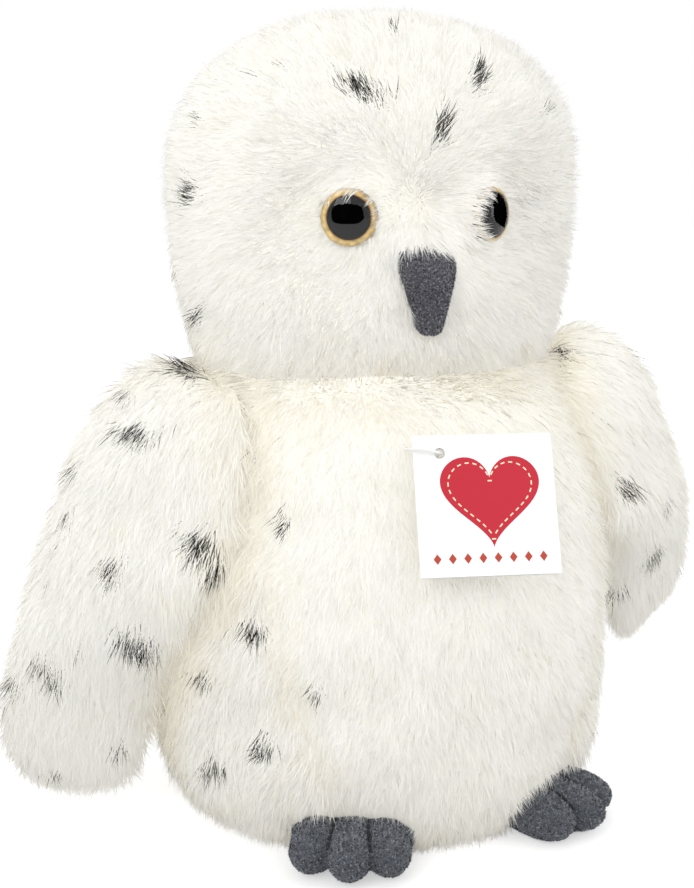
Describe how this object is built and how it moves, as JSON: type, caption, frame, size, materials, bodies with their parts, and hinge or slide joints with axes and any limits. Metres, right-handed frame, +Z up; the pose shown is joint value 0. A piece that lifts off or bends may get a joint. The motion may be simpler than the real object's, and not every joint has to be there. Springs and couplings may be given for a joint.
{
  "type": "plush owl",
  "caption": "Standing plush owl with rounded head, drooping wings, safety eyes, fleece beak and feet and a folded hang tag on a nylon pin.",
  "frame": {"origin": "on the floor under the owl's own upright axis, in the middle of its flat base", "axes": "+Z up, -Y ahead (the way the owl faces), +X to the owl's left"},
  "size_m": [0.2863, 0.1572, 0.27],
  "materials": {
    "white_plush": "long-pile white plush",
    "spotted_plush": "long-pile white plush with small dark spots",
    "filling_fibre": "loose polyester fibre",
    "pouch_cloth": "plain woven cotton",
    "slate_fleece": "short-pile slate fleece",
    "beak_fleece": "short-pile dark grey fleece",
    "clear_plastic": "clear polished",
    "iris_print": "gold print with a black pupil",
    "black_plastic": "moulded gloss",
    "washer_plastic": "moulded",
    "tag_card": "coated card with a printed motif",
    "pin_nylon": "translucent white nylon"
  },
  "bodies": {
    "torso": {"body_belly_panel": "white_plush", "body_side_panel_right": "spotted_plush", "body_side_panel_left": "spotted_plush", "body_back_panel": "spotted_plush", "body_base_panel": "white_plush", "body_filling": "filling_fibre", "pellet_pouch": "pouch_cloth", "head_face_panel": "white_plush", "head_back_panel_right": "spotted_plush", "head_back_panel_left": "spotted_plush", "head_filling": "filling_fibre", "beak_cover": "beak_fleece", "beak_filling": "filling_fibre", "eye_dome_right": "clear_plastic", "eye_dome_left": "clear_plastic", "eye_iris_right": "iris_print", "eye_iris_left": "iris_print", "eye_plate_right": "black_plastic", "eye_plate_left": "black_plastic", "eye_washer_right": "washer_plastic", "eye_washer_left": "washer_plastic", "foot_upper_right": "slate_fleece", "foot_upper_left": "slate_fleece", "foot_sole_right": "slate_fleece", "foot_sole_left": "slate_fleece", "foot_filling_right": "filling_fibre", "foot_filling_left": "filling_fibre"},
    "wing_right": {"wing_outer_panel_right": "spotted_plush", "wing_inner_panel_right": "spotted_plush", "wing_wadding_right": "filling_fibre"},
    "wing_left": {"wing_outer_panel_left": "spotted_plush", "wing_inner_panel_left": "spotted_plush", "wing_wadding_left": "filling_fibre"},
    "hang_tag": {"hang_tag_card": "tag_card", "hang_tag_pin": "pin_nylon"}
  },
  "joints": [
    {"name": "wing_lift_right", "type": "hinge", "parent": "torso", "child": "wing_right", "pos_m": [-0.06376, -0.0086, 0.15097], "axis": [-0.2791, 0.9467, 0.1608], "range_deg": [0, 65]},
    {"name": "wing_lift_left", "type": "hinge", "parent": "torso", "child": "wing_left", "pos_m": [0.06376, -0.0086, 0.15097], "axis": [-0.3002, -0.8588, -0.4151], "range_deg": [0, 65]},
    {"name": "hang_tag_swing", "type": "hinge", "parent": "torso", "child": "hang_tag", "pos_m": [-0.01898, -0.05718, 0.13507], "axis": [-0.9652, 0.2615, 0.0064], "range_deg": [0, 75]}
  ]
}
